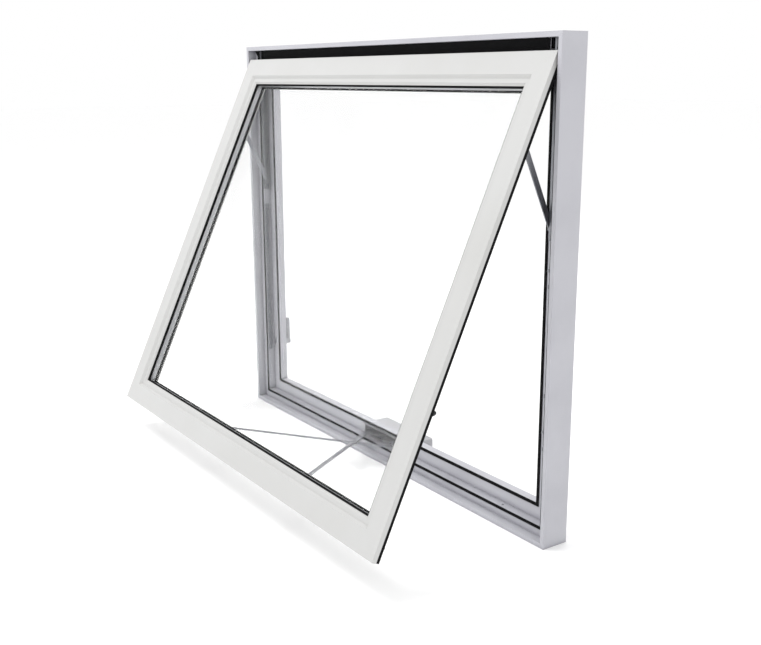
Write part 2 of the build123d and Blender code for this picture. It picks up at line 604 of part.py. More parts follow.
hub_out = FRAME_DEPTH + HOUSING_DEPTH - HUB_DEPTH + 3.0
HUB_LENGTH = 9.0
TONGUE = 3.0
KNUCKLE_R = 6.0
fold_y = hub_out + HUB_LENGTH + KNUCKLE_R + 2.0
finish("worm_shaft", pins(worm_axis, [(-WORM_HALF - 4, -WORM_HALF, SHAFT_R), (-WORM_HALF, WORM_HALF, WORM_R),
                                      (WORM_HALF, hub_out, SHAFT_R)]))
rest = math.radians(CRANK_REST)
fold = at(operator_base_plane, (0, fold_y, sector_level + SECTOR / 2),
          x_dir=(math.cos(rest), 0, math.sin(rest)), z_dir=(-math.sin(rest), 0, math.cos(rest)))
with BuildPart() as crank_hub:
    add(pins(worm_axis, [(hub_out, hub_out + HUB_LENGTH, SHAFT_R * 3)]))
    with BuildSketch(fold):
        Circle(KNUCKLE_R)
        with Locations((0, -(fold_y - hub_out - HUB_LENGTH) / 2)):
            Rectangle(2 * KNUCKLE_R, fold_y - hub_out - HUB_LENGTH)
        Circle(2, mode=Mode.SUBTRACT)
    extrude(amount=TONGUE / 2, both=True)
finish("crank_hub", crank_hub.part)

CRANK_THICK = 8.0
with BuildPart() as crank_lever:
    with BuildSketch(fold):
        with Locations((CRANK_REACH / 2, 0)):
            Rectangle(CRANK_REACH, 2 * KNUCKLE_R)
        with Locations((0, 0), (CRANK_REACH, 0)):
            Circle(KNUCKLE_R)
        Circle(2 + RUNNING, mode=Mode.SUBTRACT)
    extrude(amount=CRANK_THICK / 2, both=True)
    with BuildSketch(fold):
        Circle(KNUCKLE_R * math.sqrt(2) + 1)
    extrude(amount=TONGUE / 2 + CLEAR, both=True, mode=Mode.SUBTRACT)
    knob_seat = at(fold, (CRANK_REACH, 0, 0), x_dir=(1, 0, 0), z_dir=(0, 1, 0))
    with BuildSketch(knob_seat):
        Circle(2)
    extrude(amount=KNUCKLE_R, mode=Mode.SUBTRACT)
finish("crank_lever", crank_lever.part)
finish("crank_fold_pin", pins(fold, [(-CRANK_THICK / 2, CRANK_THICK / 2, 2)]))
finish("crank_knob_pin", pins(knob_seat, [(0, KNUCKLE_R + 20, 2), (KNUCKLE_R + 20, KNUCKLE_R + 21.5, 4)]))
with BuildPart() as crank_knob:
    with BuildSketch(Plane(origin=knob_seat.origin, x_dir=knob_seat.x_dir, z_dir=-knob_seat.y_dir)):
        with BuildLine():
            Polyline((2 + RUNNING, KNUCKLE_R + 0.3), (6, KNUCKLE_R + 0.3), (8.5, KNUCKLE_R + 8),
                     (8, KNUCKLE_R + 17), (6, KNUCKLE_R + 19.7), (2 + RUNNING, KNUCKLE_R + 19.7), close=True)
        make_face()
    revolve(axis=Axis(knob_seat.origin, knob_seat.z_dir))
finish("crank_knob", crank_knob.part)

cover_middle = (HOUSING_LOW + HOUSING_HIGH) / 2
cover_height = HOUSING_HIGH - HOUSING_LOW
with BuildPart() as operator_cover:
    with BuildSketch(at(frame_base, (0, FRAME_DEPTH, cover_middle), **INWARD)):
        RectangleRounded(HOUSING_WIDTH, cover_height, 6)
    extrude(amount=-HOUSING_DEPTH)
    with BuildSketch(at(frame_base, (0, FRAME_DEPTH, cover_middle), **INWARD)):
        RectangleRounded(2 * cover_inside, cover_height - 2 * HOUSING_WALL, 1.5)
    extrude(amount=-(HOUSING_DEPTH - HOUSING_WALL), mode=Mode.SUBTRACT)
    with BuildSketch(at(frame_base, (0, FRAME_DEPTH, cover_middle), **INWARD)):
        for side in (-1, 1):
            with Locations((side * (COVER_SCREW_X - 1), 0)):
                Rectangle(2 * 8 + 1, 14)
        Rectangle(2 * cover_inside, cover_height - 2 * HOUSING_WALL, mode=Mode.SUBTRACT)
        with Locations((-COVER_SCREW_X, 0), (COVER_SCREW_X, 0)):
            Circle(SCREW_R, mode=Mode.SUBTRACT)
    extrude(amount=-HOUSING_WALL)
    with BuildSketch(worm_axis):
        Circle(SHAFT_R + 0.5)
    extrude(amount=hub_out + 5, mode=Mode.SUBTRACT)
finish("operator_cover", operator_cover.part)

with BuildPart() as operator_screws:
    for side in (-1, 1):
        seat = at(frame_base, (side * COVER_SCREW_X, FRAME_DEPTH + HOUSING_WALL, cover_middle),
                  x_dir=(1, 0, 0), z_dir=(0, 1, 0))
        add(pins(seat, [(-HOUSING_WALL - FRAME_WALL, 0, SCREW_R), (0, SCREW_HEAD, SCREW_HEAD_R)]))
finish("operator_screws", operator_screws.part)

FACE_PLATE = 2.0
with BuildPart() as face_plate:
    with BuildSketch(at(frame_base, (0, REBATE_2, (SLOT_LOW + SLOT_HIGH) / 2), **INWARD)):
        Rectangle(2 * SLOT_HALF + 24, SLOT_HIGH - SLOT_LOW + 1)
        Rectangle(2 * SLOT_HALF - 4, SLOT_HIGH - SLOT_LOW - 3, mode=Mode.SUBTRACT)
    extrude(amount=FACE_PLATE)
finish("operator_face_plate", face_plate.part)

# ---------------------------------------------------------------- locks
ROSE = 5.0
BAR_THICK = 2.2
STUD_R = 3.5
bar_far = jamb_ledge - CLEAR
bar_near = bar_far - BAR_THICK
stud_near = groove_face + 2 + 2
lock_studs = (LOCK_STUD, stay_foot - TRACK_LOW - STUD_BELOW_TRACK)
lock_guides = (LOCK_STUD - 32, LOCK_STUD + 80, lock_studs[1] - 30)
bar_low = LOCK_HEIGHT - 20
bar_high = lock_studs[1] + LOCK_THROW
roses, keepers = [], []
for side, hand in ((-1, "left"), (1, "right")):
    out = (side, 0, 0)
    spindle = at(frame_base, (side * lock_x, FRAME_DEPTH, LOCK_HEIGHT), x_dir=(1, 0, 0), z_dir=(0, 1, 0))
    with BuildPart() as rose:
        with BuildSketch(at(frame_base, (side * lock_x, FRAME_DEPTH, LOCK_HEIGHT + 8), **INWARD)):
            RectangleRounded(24, 78, 6)
            with Locations((0, -8)):
                Circle(SPINDLE_R + RUNNING, mode=Mode.SUBTRACT)
        extrude(amount=-ROSE)
    roses.append(rose.part)

    handle_plane = at(frame_base, (side * lock_x, FRAME_DEPTH + ROSE + CLEAR, LOCK_HEIGHT), **INWARD)
    with BuildPart() as lock_handle:
        add(pins(spindle, [(REBATE_2 - FRAME_DEPTH, ROSE + CLEAR, SPINDLE_R)]))
        with BuildSketch(handle_plane):
            Circle(10)
        extrude(amount=-10)
        with BuildSketch(handle_plane.offset(-10)):
            Circle(10)
            with Locations((0, LOCK_LEVER / 2)):
                Rectangle(13, LOCK_LEVER)
            with Locations((0, LOCK_LEVER)):
                Circle(6.5)
        extrude(amount=-8)
    finish(f"lock_handle_{hand}", lock_handle.part)

    with BuildPart() as lock_finger:
        with BuildSketch(at(frame_base, (side * lock_x, REBATE_2, LOCK_HEIGHT), **INWARD)):
            Circle(6)
            with Locations((0, LOCK_THROW / 2 - 2)):
                Rectangle(7, LOCK_THROW - 4)
        extrude(amount=FACE_PLATE)
    finish(f"lock_finger_{hand}", lock_finger.part)

    with BuildPart() as tie_bar:
        with BuildSketch(at(frame_base, (side * bar_near, STAY_DEPTH, (bar_low + bar_high) / 2), **ACROSS)):
            Rectangle(LOCK_BAR, bar_high - bar_low)
        extrude(amount=side * BAR_THICK)
        for height in lock_studs:
            with BuildSketch(at(frame_base, (side * bar_near, STAY_DEPTH, height), x_dir=(0, 1, 0), z_dir=out)):
                Circle(STUD_R)
            extrude(amount=stud_near - bar_near)
    finish(f"tie_bar_{hand}", tie_bar.part)

    with BuildPart() as keeper_pair:
        for height in lock_studs:
            section = at(sash_base, (side * groove_face, STAY_DEPTH, height + LOCK_THROW), x_dir=out,
                         z_dir=(0, 0, 1))
            wall = -side * (STUD_R + CLEAR)
            with BuildSketch(section.offset(-8)):
                with BuildLine():
                    Polyline((0, side * 6), (0, wall - side * 2.5), (7, wall - side * 2.5), (7, wall),
                             (2, wall), (2, side * 6), close=True)
                make_face()
            extrude(amount=16)
    keepers.append(keeper_pair.part)

finish("lock_roses", gathered(roses))
finish("lock_keepers", gathered(keepers))

GUIDE = 8.0
with BuildPart() as tie_bar_guides:
    for side in (-1, 1):
        half = LOCK_BAR / 2 + CLEAR
        for height in lock_guides:
            with BuildSketch(at(frame_base, (side * jamb_ledge, STAY_DEPTH, height - GUIDE / 2),
                                x_dir=(1, 0, 0), z_dir=(0, 0, 1))):
                with BuildLine():
                    Polyline(*[(-side * x, y) for x, y in (
                        (0, half), (BAR_THICK + 2 * CLEAR, half), (BAR_THICK + 2 * CLEAR, -half), (0, -half),
                        (0, -half - 1.2), (BAR_THICK + 2 * CLEAR + 1.2, -half - 1.2),
                        (BAR_THICK + 2 * CLEAR + 1.2, half + 1.2), (0, half + 1.2))], close=True)
                make_face()
            extrude(amount=GUIDE)
finish("tie_bar_guides", tie_bar_guides.part)

print(f"cant {math.degrees(cant):.2f} deg, arm {arm_length:.2f} mm, hub height {hub_height:.2f} mm")
print(f"stay foot z {stay_foot:.3f}, slider open z {slider_open:.3f}, arm x {arm_near:.3f}")
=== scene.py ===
"""Finishes, small parts, light and camera of a top-hung window with a crank operator."""

import json
import logging
import math
from dataclasses import dataclass, field
from enum import Enum

import bmesh
import bpy
from mathutils import Matrix, Vector


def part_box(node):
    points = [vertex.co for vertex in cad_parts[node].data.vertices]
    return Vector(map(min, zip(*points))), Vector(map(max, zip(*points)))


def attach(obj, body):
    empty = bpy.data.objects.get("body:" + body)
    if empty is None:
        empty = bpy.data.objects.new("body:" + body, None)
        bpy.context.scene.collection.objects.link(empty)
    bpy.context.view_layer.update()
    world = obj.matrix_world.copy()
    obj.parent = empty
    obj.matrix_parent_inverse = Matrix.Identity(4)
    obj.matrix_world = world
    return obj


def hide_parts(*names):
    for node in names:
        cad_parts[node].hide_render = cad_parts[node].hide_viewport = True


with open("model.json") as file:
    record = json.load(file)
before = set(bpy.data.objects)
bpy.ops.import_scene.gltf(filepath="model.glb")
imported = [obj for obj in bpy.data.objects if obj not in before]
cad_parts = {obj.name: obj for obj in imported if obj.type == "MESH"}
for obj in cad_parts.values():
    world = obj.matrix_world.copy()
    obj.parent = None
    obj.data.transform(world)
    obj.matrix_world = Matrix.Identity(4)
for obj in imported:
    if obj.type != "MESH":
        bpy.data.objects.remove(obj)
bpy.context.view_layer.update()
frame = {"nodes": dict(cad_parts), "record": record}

LOG = logging.getLogger("crank_window")
MM = 0.001


def linear(colour: str) -> tuple[float, float, float, float]:
    """Turn an sRGB hex colour into linear RGBA.

    Args:
        colour: The colour as "#rrggbb".

    Returns:
        Linear red, green and blue, with alpha 1.
    """
    parts = [int(colour[i:i + 2], 16) / 255 for i in (1, 3, 5)]
    red, green, blue = (c / 12.92 if c <= 0.04045 else ((c + 0.055) / 1.055) ** 2.4 for c in parts)
    return red, green, blue, 1.0


def node(
    tree: bpy.types.NodeTree,
    kind: str,
    settings: dict[str, object] | None = None,
    values: dict[str | int, object] | None = None,
    links: dict[str | int, bpy.types.NodeSocket] | None = None,
) -> bpy.types.Node:
    """Add one shader node.

    Args:
        tree: The material's node tree.
        kind: The node's type name.
        settings: Properties of the node itself.
        values: Values of input sockets, by name or index.
        links: Sockets that feed input sockets, by name or index.

    Returns:
        The new node.
    """
    made = tree.nodes.new(kind)
    for name, value in (settings or {}).items():
        setattr(made, name, value)
    for name, value in (values or {}).items():
        made.inputs[name].default_value = value
    for name, socket in (links or {}).items():
        tree.links.new(socket, made.inputs[name])
    return made


class Process(Enum):
    """How a surface was made, which settles its texture."""

    POWDER_COATED = "powder coated"
    BRUSHED = "brushed"
    CAST = "cast"
    EXTRUDED = "extruded"
    MOULDED = "moulded"
    GROUND = "ground"


@dataclass(frozen=True)
class Finish:
    """An opaque finish: what it is, how it was made, and what the eye gets from it.

    Attributes:
        name: The material's common name.
        process: How the surface was made.
        colour: The clean surface, sRGB hex.
        soil_and_shade: The colour it drifts towards in random soiled patches, and also the painted shade
            colour that corners and recesses lean to.
        roughness: Typical roughness of the clean surface.
        metallic: 1 for bare metal, 0 for coatings, rubber and plastic.
        grain_mm: Size of the finest texture.
        relief_mm: Height of that texture.
        patch_mm: Size of the slow colour drift.
        coat: Weight of a clear or glossy skin.
        shine: Specular level; half is the usual value.
    """

    name: str
    process: Process
    colour: str
    soil_and_shade: str
    roughness: float
    metallic: float
    grain_mm: float
    relief_mm: float
    patch_mm: float = 180.0
    coat: float = 0.0
    shine: float = 0.5

    def grain(self, tree: bpy.types.NodeTree, place: bpy.types.NodeSocket) -> bpy.types.NodeSocket:
        """Build the fine texture that the process leaves.

        Args:
            tree: The material's node tree.
            place: Object coordinates in metres.

        Returns:
            The texture's height, 0 to 1.
        """
        scale = 1.0 / (self.grain_mm * MM)
        if self.process is Process.BRUSHED:
            # Brushing leaves scratches some 40 times longer than they are wide.
            stretched = node(tree, "ShaderNodeMapping", values={"Scale": (scale, scale, scale / 40)},
                             links={"Vector": place})
            return node(tree, "ShaderNodeTexNoise", values={"Scale": 1.0, "Detail": 3.0},
                        links={"Vector": stretched.outputs["Vector"]}).outputs["Fac"]
        if self.process is Process.EXTRUDED:
            # A die draws fine lines along the section, with a dull skin between them.
            drawn = node(tree, "ShaderNodeMapping", values={"Scale": (scale / 30, scale, scale / 30)},
                         links={"Vector": place})
            return node(tree, "ShaderNodeTexNoise", values={"Scale": 1.0, "Detail": 4.0, "Roughness": 0.6},
                        links={"Vector": drawn.outputs["Vector"]}).outputs["Fac"]
        if self.process is Process.MOULDED:
            # The tool's spark texture shows as small rounded pits.
            return node(tree, "ShaderNodeTexVoronoi", {"feature": "SMOOTH_F1"}, {"Scale": scale},
                        {"Vector": place}).outputs["Distance"]
        if self.process is Process.GROUND:
            # Grinding leaves rings of short scratches.
            return node(tree, "ShaderNodeTexNoise",
                        values={"Scale": scale, "Detail": 8.0, "Distortion": 1.5},
                        links={"Vector": place}).outputs["Fac"]
        # Powder that flowed in the oven, or enamel on a casting, keeps a soft orange peel.
        return node(tree, "ShaderNodeTexNoise", values={"Scale": scale, "Detail": 2.0, "Roughness": 0.45},
                    links={"Vector": place}).outputs["Fac"]

    def material(self) -> bpy.types.Material:
        """Build the finish's node material.

        Returns:
            The material.
        """
        made = bpy.data.materials.new(self.name.replace(" ", "_"))
        made.use_nodes = True
        tree = made.node_tree
        tree.nodes.clear()
        place = node(tree, "ShaderNodeTexCoord").outputs["Object"]
        height = self.grain(tree, place)
        drift = node(tree, "ShaderNodeTexNoise",
                     values={"Scale": 1.0 / (self.patch_mm * MM), "Detail": 5.0},
                     links={"Vector": place}).outputs["Fac"]
        patch = node(tree, "ShaderNodeMapRange",
                     values={"From Min": 0.42, "From Max": 0.75, "To Max": 0.25},
                     links={"Value": drift}).outputs["Result"]
        # Painted shade: ambient occlusion within 12 mm pulls corners, creases and recesses towards the soil
        # colour, which is darker than the clean colour on the coatings and metals.
        corner = node(tree, "ShaderNodeAmbientOcclusion", {"samples": 6}, {"Distance": 0.012}).outputs["AO"]
        painted_corner_shade = node(tree, "ShaderNodeMapRange",
                     values={"From Min": 0.35, "From Max": 0.95, "To Min": 0.8, "To Max": 0.0},
                     links={"Value": corner}).outputs["Result"]
        # Random soiling and painted corner shade are merged here, and the larger of the two sets how far
        # the colour leans to the soil colour.
        soil_and_shade_weight = node(tree, "ShaderNodeMath", {"operation": "MAXIMUM"},
                      links={0: patch, 1: painted_corner_shade}).outputs["Value"]
        tint = node(tree, "ShaderNodeMix", {"data_type": "RGBA"},
                    {"A": linear(self.colour), "B": linear(self.soil_and_shade)}, {"Factor": soil_and_shade_weight})
        polish = node(tree, "ShaderNodeMapRange",
                      values={"To Min": self.roughness - 0.06, "To Max": self.roughness + 0.08},
                      links={"Value": height}).outputs["Result"]
        bump = node(tree, "ShaderNodeBump", values={"Strength": 0.6, "Distance": self.relief_mm * MM},
                    links={"Height": height})
        # The turned edge of a real section catches light on a small radius.
        edge = node(tree, "ShaderNodeBevel", {"samples": 4}, {"Radius": 0.5 * MM})
        tree.links.new(edge.outputs["Normal"], bump.inputs["Normal"])
        shader = node(tree, "ShaderNodeBsdfPrincipled",
                      values={"Metallic": self.metallic, "Coat Weight": self.coat, "Coat Roughness": 0.15,
                              "Specular IOR Level": self.shine},
                      links={"Base Color": tint.outputs["Result"], "Roughness": polish,
                             "Normal": bump.outputs["Normal"]})
        node(tree, "ShaderNodeOutputMaterial", links={"Surface": shader.outputs["BSDF"]})
        return made


@dataclass(frozen=True)
class FloatGlass:
    """Clear float glass: nearly colourless, with faint waviness from the tin bath.

    Attributes:
        name: The material's common name.
        colour: Its tint, sRGB hex.
        ripple_mm: Length of the waves in its surface.
        alpha: How much of the pane shades and reflects; the rest lets light straight through.
    """

    name: str = "float glass"
    colour: str = "#f4faf7"
    ripple_mm: float = 220.0
    alpha: float = 0.03

    def material(self) -> bpy.types.Material:
        """Build the glass.

        Returns:
            The material.
        """
        made = bpy.data.materials.new(self.name.replace(" ", "_"))
        made.use_nodes = True
        tree = made.node_tree
        tree.nodes.clear()
        place = node(tree, "ShaderNodeTexCoord").outputs["Object"]
        ripple = node(tree, "ShaderNodeTexNoise",
                      values={"Scale": 1.0 / (self.ripple_mm * MM), "Detail": 1.0},
                      links={"Vector": place})
        bump = node(tree, "ShaderNodeBump", values={"Strength": 0.05, "Distance": 0.2 * MM},
                    links={"Height": ripple.outputs["Fac"]})
        shader = node(tree, "ShaderNodeBsdfPrincipled",
                      values={"Base Color": linear(self.colour), "Roughness": 0.02, "IOR": 1.52,
                              "Transmission Weight": 1.0, "Alpha": self.alpha},
                      links={"Normal": bump.outputs["Normal"]})
        node(tree, "ShaderNodeOutputMaterial", links={"Surface": shader.outputs["BSDF"]})
        return made


# Polyester powder on the sash: warm white, satin, with a soft orange peel about a millimetre across.
SASH_POWDER = Finish("white polyester powder coat", Process.POWDER_COATED, "#c1c1c0", "#b1b0ac", 0.38, 0.0,
                     1.2, 0.03, coat=0.15)
# The same powder in silver grey on the frame, a little cooler and duller.
FRAME_POWDER = Finish("silver grey powder coat", Process.POWDER_COATED, "#b8b8be", "#84838c", 0.42, 0.0,
                      1.2, 0.03, coat=0.1)
# Stainless strip for stays and arms: mid grey, with long brush lines drawn coarse enough to show.
STAINLESS = Finish("brushed stainless steel", Process.BRUSHED, "#8e8f94", "#67686c", 0.34, 1.0, 0.6, 0.01)
# Die-cast zinc under grey enamel: smooth, with a slight sheen and rounded edges.
ENAMEL = Finish("grey enamelled zinc casting", Process.CAST, "#a5a5a9", "#85858a", 0.36, 0.0, 0.9, 0.02,
                coat=0.2)
# Ground steel for worm and sectors: darker, finely scratched and lightly oiled.
GROUND_STEEL = Finish("ground gear steel", Process.GROUND, "#8c8c8e", "#4f4c47", 0.3, 1.0, 0.5, 0.008)
# EPDM extrusion for every seal: black, matte, with faint drawn lines.
EPDM = Finish("extruded EPDM rubber", Process.EXTRUDED, "#08080a", "#141415", 0.8, 0.0, 0.8, 0.03,
              shine=0.15)
# Acetal shoes and buttons: dense black plastic with a fine moulded texture.
ACETAL = Finish("moulded acetal", Process.MOULDED, "#151617", "#262728", 0.5, 0.0, 0.6, 0.015, shine=0.35)
# Roll-formed aluminium spacer: pale metal, softly matte behind glass.
SPACER = Finish("rolled aluminium spacer", Process.EXTRUDED, "#c4c5c7", "#9b9c9e", 0.4, 1.0, 0.5, 0.01)
GLASS = FloatGlass()

FINISH_OF_SLOT: dict[str, Finish | FloatGlass] = {
    "white_aluminium": SASH_POWDER,
    "coated_frame": FRAME_POWDER,
    "steel": STAINLESS,
    "zinc_casting": ENAMEL,
    "rubber": EPDM,
    "glass": GLASS,
    "nylon": ACETAL,
    "spacer": SPACER,
}


@dataclass
class Wardrobe:
    """Keeps one Blender material for each finish."""

    made: dict[str, bpy.types.Material] = field(default_factory=dict)

    def get(self, finish: Finish | FloatGlass) -> bpy.types.Material:
        """Return the finish's material, building it the first time.

        Args:
            finish: The finish wanted.

        Returns:
            Its material.
        """
        if finish.name not in self.made:
            self.made[finish.name] = finish.material()
        return self.made[finish.name]

    def dress(self, piece: bpy.types.Object, finish: Finish | FloatGlass) -> None:
        """Give a piece one finish all over."""
        material = self.get(finish)
        if piece.material_slots:
            for place in piece.material_slots:
                place.material = material
        else:
            piece.data.materials.append(material)


WARDROBE = Wardrobe()


def new_piece(name: str, mesh_code: bmesh.types.BMesh, body: str, finish: Finish,
              stands_for: tuple[str, ...] = (), smooth_angle: float = 35.0) -> bpy.types.Object:
    """Turn mesh code into a dressed piece that rides on a CAD body.

    Args:
        name: The piece's name.
        mesh_code: Its geometry in the row frame, in metres.
        body: The CAD body it rides on.
        finish: Its finish.
        stands_for: CAD nodes that it replaces.
        smooth_angle: Edges flatter than this, in degrees, are shaded smooth.

    Returns:
        The new object.
    """
    mesh = bpy.data.meshes.new(name)
    bmesh.ops.recalc_face_normals(mesh_code, faces=mesh_code.faces)
    mesh_code.to_mesh(mesh)
    mesh_code.free()
    piece = bpy.data.objects.new(name, mesh)
    bpy.context.scene.collection.objects.link(piece)
    mesh.shade_smooth()
    mesh.set_sharp_from_angle(angle=math.radians(smooth_angle))
    WARDROBE.dress(piece, finish)
    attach(piece, body)
    if stands_for:
        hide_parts(*stands_for)
    LOG.info("%s: %d faces on %s", name, len(mesh.polygons), body)
    return piece


@dataclass(frozen=True)
class Placing:
    """An origin with three directions, for parts built on their own axes."""

    origin: Vector
    right: Vector
    ahead: Vector
    up: Vector

    def at(self, x: float, y: float, z: float) -> Vector:
        """Return the row-frame place of a local point."""
        return self.origin + self.right * x + self.ahead * y + self.up * z

    def turned(self, angle: float) -> "Placing":
        """Return this placing turned about its up direction by an angle in radians."""
        spin = Matrix.Rotation(angle, 3, self.up)
        return Placing(self.origin, spin @ self.right, spin @ self.ahead, self.up)


def joint_placing(name: str) -> Placing:
    """Read a joint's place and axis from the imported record.

    Args:
        name: The joint's name.

    Returns:
        A placing at the joint, with up along its axis and right nearest to the row's X.
    """
    joint = next(j for j in frame["record"]["behaviour"]["joints"] if j["name"] == name)
    up = Vector(joint["axis"]).normalized()
    right = Vector((1, 0, 0))
    if abs(up.dot(right)) > 0.9:
        right = Vector((0, 1, 0))
    right = (right - up * right.dot(up)).normalized()
    return Placing(Vector(joint["pos_m"]), right, up.cross(right), up)


def lathe(mesh: bmesh.types.BMesh, place: Placing, profile: list[tuple[float, float]],
          sides: int = 32) -> None:
    """Turn a profile about a placing's up direction.

    Args:
        mesh: The mesh to add to.
        place: Where the turned shape stands.
        profile: (radius, height) pairs in metres, from one end to the other.
        sides: How many facets go round.
    """
    rings = []
    for radius, height in profile:
        if radius < 1e-6:
            rings.append([mesh.verts.new(place.at(0, 0, height))])
            continue
        rings.append([mesh.verts.new(place.at(radius * math.cos(a), radius * math.sin(a), height))
                      for a in (2 * math.pi * i / sides for i in range(sides))])
    for low, high in zip(rings, rings[1:]):
        for i in range(sides):
            j = (i + 1) % sides
            corners = [low[i % len(low)], low[j % len(low)], high[j % len(high)], high[i % len(high)]]
            unique = list(dict.fromkeys(corners))
            if len(unique) > 2:
                mesh.faces.new(unique)
    for end in (rings[0], rings[-1]):
        if len(end) > 2:
            mesh.faces.new(end)


def prism(mesh: bmesh.types.BMesh, place: Placing, outline: list[tuple[float, float]],
          low: float, high: float) -> None:
    """Extrude an outline along a placing's up direction.

    Args:
        mesh: The mesh to add to.
        place: Where the prism stands.
        outline: Its corners in the placing's right and ahead directions, in metres.
        low: Where it starts.
        high: Where it ends.
    """
    bottom = [mesh.verts.new(place.at(x, y, low)) for x, y in outline]
    top = [mesh.verts.new(place.at(x, y, high)) for x, y in outline]
    mesh.faces.new(bottom[::-1])
    mesh.faces.new(top)
    count = len(outline)
    for i in range(count):
        j = (i + 1) % count
        mesh.faces.new((bottom[i], bottom[j], top[j], top[i]))


@dataclass
class CadDress:
    """Dresses every CAD node that stays in view."""

    finish_of_slot: dict[str, Finish | FloatGlass] = field(default_factory=lambda: dict(FINISH_OF_SLOT))

    def dress(self) -> None:
        """Give each node the finish of its material slot."""
        slots = {row["node"]: row["material_slot"] for row in frame["record"]["subparts"]}
        for name, piece in frame["nodes"].items():
            finish = self.finish_of_slot[slots[name]]
            WARDROBE.dress(piece, finish)
            LOG.info("%s: %s", name, finish.name)


@dataclass
class Operator:
    """The two-arm worm operator's finer parts: toothed sectors, worm thread and crank knob.

    Attributes:
        hub_spread: From the crank's middle line to each arm's hub.
        worm_radius: To the thread's crest.
        worm_half: Half the threaded length.
        worm_from: From the shaft's inner end to the thread.
        shaft_radius: Of the plain shaft.
        shaft_short: How far the shaft stops short at each end.
        tooth_depth: Of the sector's teeth and of the thread.
        sector_thick: Of the sector plate.
        sector_margin: How far the teeth run past the swing at each end, in degrees.
        arm_swing: The arm's travel, in degrees.
        boss_radius: Of the hub's boss.
        pin_radius: Of the hole for the hub pin.
        clear: Between thread and teeth.
        plate: Thickness of an arm.
        level_gap: Between one layer and the next.
        teeth: Count on each sector.
        thread_turns: Count on the worm.
        knob_half: Half the knob's length.
        knob_end: Radius at the knob's ends.
        knob_belly: How far the middle swells past that.
        flutes: Count round the knob.
        flute_depth: At the knob's middle.
    """

    hub_spread: float = 60 * MM
    worm_radius: float = 5 * MM
    worm_half: float = 9 * MM
    worm_from: float = 4 * MM
    shaft_radius: float = 3 * MM
    shaft_short: float = 0.5 * MM
    tooth_depth: float = 1.6 * MM
    sector_thick: float = 5 * MM
    sector_margin: float = 5.0
    arm_swing: float = 52.0
    boss_radius: float = 8 * MM
    pin_radius: float = 4.05 * MM
    clear: float = 0.3 * MM
    plate: float = 2.5 * MM
    level_gap: float = 0.5 * MM
    teeth: int = 18
    thread_turns: int = 4
    knob_half: float = 9.6 * MM
    knob_end: float = 5.6 * MM
    knob_belly: float = 2.9 * MM
    flutes: int = 12
    flute_depth: float = 0.35 * MM

    @property
    def upper_level(self) -> float:
        """Return the underside of the upper arm."""
        return self.plate / 2 + self.level_gap

    @property
    def sector_level(self) -> float:
        """Return the underside of both sectors."""
        return self.upper_level + self.plate + self.level_gap

    def sector(self, hand: str) -> bpy.types.Object:
        """Build one toothed sector with its hub.

        Args:
            hand: "left" or "right", for the arm it drives.

        Returns:
            The sector.
        """
        place = joint_placing(f"operator_arm_{hand}_turn")
        side = 1 if hand == "left" else -1
        radius = self.hub_spread - self.worm_radius - self.clear
        toward = math.pi if side > 0 else 0.0
        lead = side * math.radians(self.arm_swing)
        first = toward + lead + side * math.radians(self.sector_margin)
        last = toward + lead - side * math.radians(self.arm_swing + self.sector_margin)
        steps = self.teeth * 4
        rim = []
        for i in range(steps + 1):
            angle = first + (last - first) * i / steps
            depth = 0.0 if i % 4 in (1, 2) else self.tooth_depth
            rim.append(((radius - depth) * math.cos(angle), (radius - depth) * math.sin(angle)))
        mesh = bmesh.new()
        back = [(self.boss_radius * math.cos(a), self.boss_radius * math.sin(a))
                for a in (last + (first + side * 2 * math.pi - last) * i / 24 for i in range(25))]
        prism(mesh, place, rim + back, self.sector_level, self.sector_level + self.sector_thick)
        low = self.plate / 2 if hand == "left" else self.upper_level + self.plate
        lathe(mesh, place, [(self.pin_radius, low), (self.boss_radius, low),
                            (self.boss_radius, self.sector_level), (self.pin_radius, self.sector_level)])
        return new_piece(f"toothed_sector_{hand}", mesh, f"operator_arm_{hand}",
                         GROUND_STEEL, (f"gear_sector_{hand}",))

    def worm(self) -> bpy.types.Object:
        """Build the worm with its thread and shaft.

        Returns:
            The worm.
        """
        crank = joint_placing("crank_turn")
        low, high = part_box("worm_shaft")
        # The shaft's ends are found along its own axis from the CAD pieces' boxes.
        start = (Vector((0, low[1], 0)) - crank.origin).dot(Vector((0, 1, 0))) / crank.up.y
        end = (Vector((0, high[1], 0)) - crank.origin).dot(Vector((0, 1, 0))) / crank.up.y
        middle = start + self.worm_from + self.worm_half
        root = self.worm_radius - self.tooth_depth
        mesh = bmesh.new()
        inner, outer = middle - self.worm_half, middle + self.worm_half
        lathe(mesh, crank, [(self.shaft_radius, start + self.shaft_short), (self.shaft_radius, inner),
                            (root, inner), (root, outer),
                            (self.shaft_radius, outer), (self.shaft_radius, end - self.shaft_short)])
        per_turn = 28
        total = per_turn * self.thread_turns
        pitch = 2 * self.worm_half / (self.thread_turns + 0.6)
        sections = []
        for i in range(total + 1):
            angle = 2 * math.pi * i / per_turn
            along = middle - self.worm_half + 0.3 * pitch + pitch * i / per_turn
            tip = root + (self.worm_radius - root) * min(1.0, i / 8, (total - i) / 8) + 1e-5
            tooth = ((root - 1e-4, -0.32 * pitch), (tip, -0.12 * pitch),
                     (tip, 0.12 * pitch), (root - 1e-4, 0.32 * pitch))
            x, y = math.cos(angle), math.sin(angle)
            sections.append([mesh.verts.new(crank.at(r * x, r * y, along + shift)) for r, shift in tooth])
        for one, two in zip(sections, sections[1:]):
            for i in range(4):
                j = (i + 1) % 4
                mesh.faces.new((one[i], one[j], two[j], two[i]))
        mesh.faces.new(sections[0])
        mesh.faces.new(sections[-1][::-1])
        return new_piece("worm_with_thread", mesh, "crank_shaft", GROUND_STEEL, ("worm_shaft",))

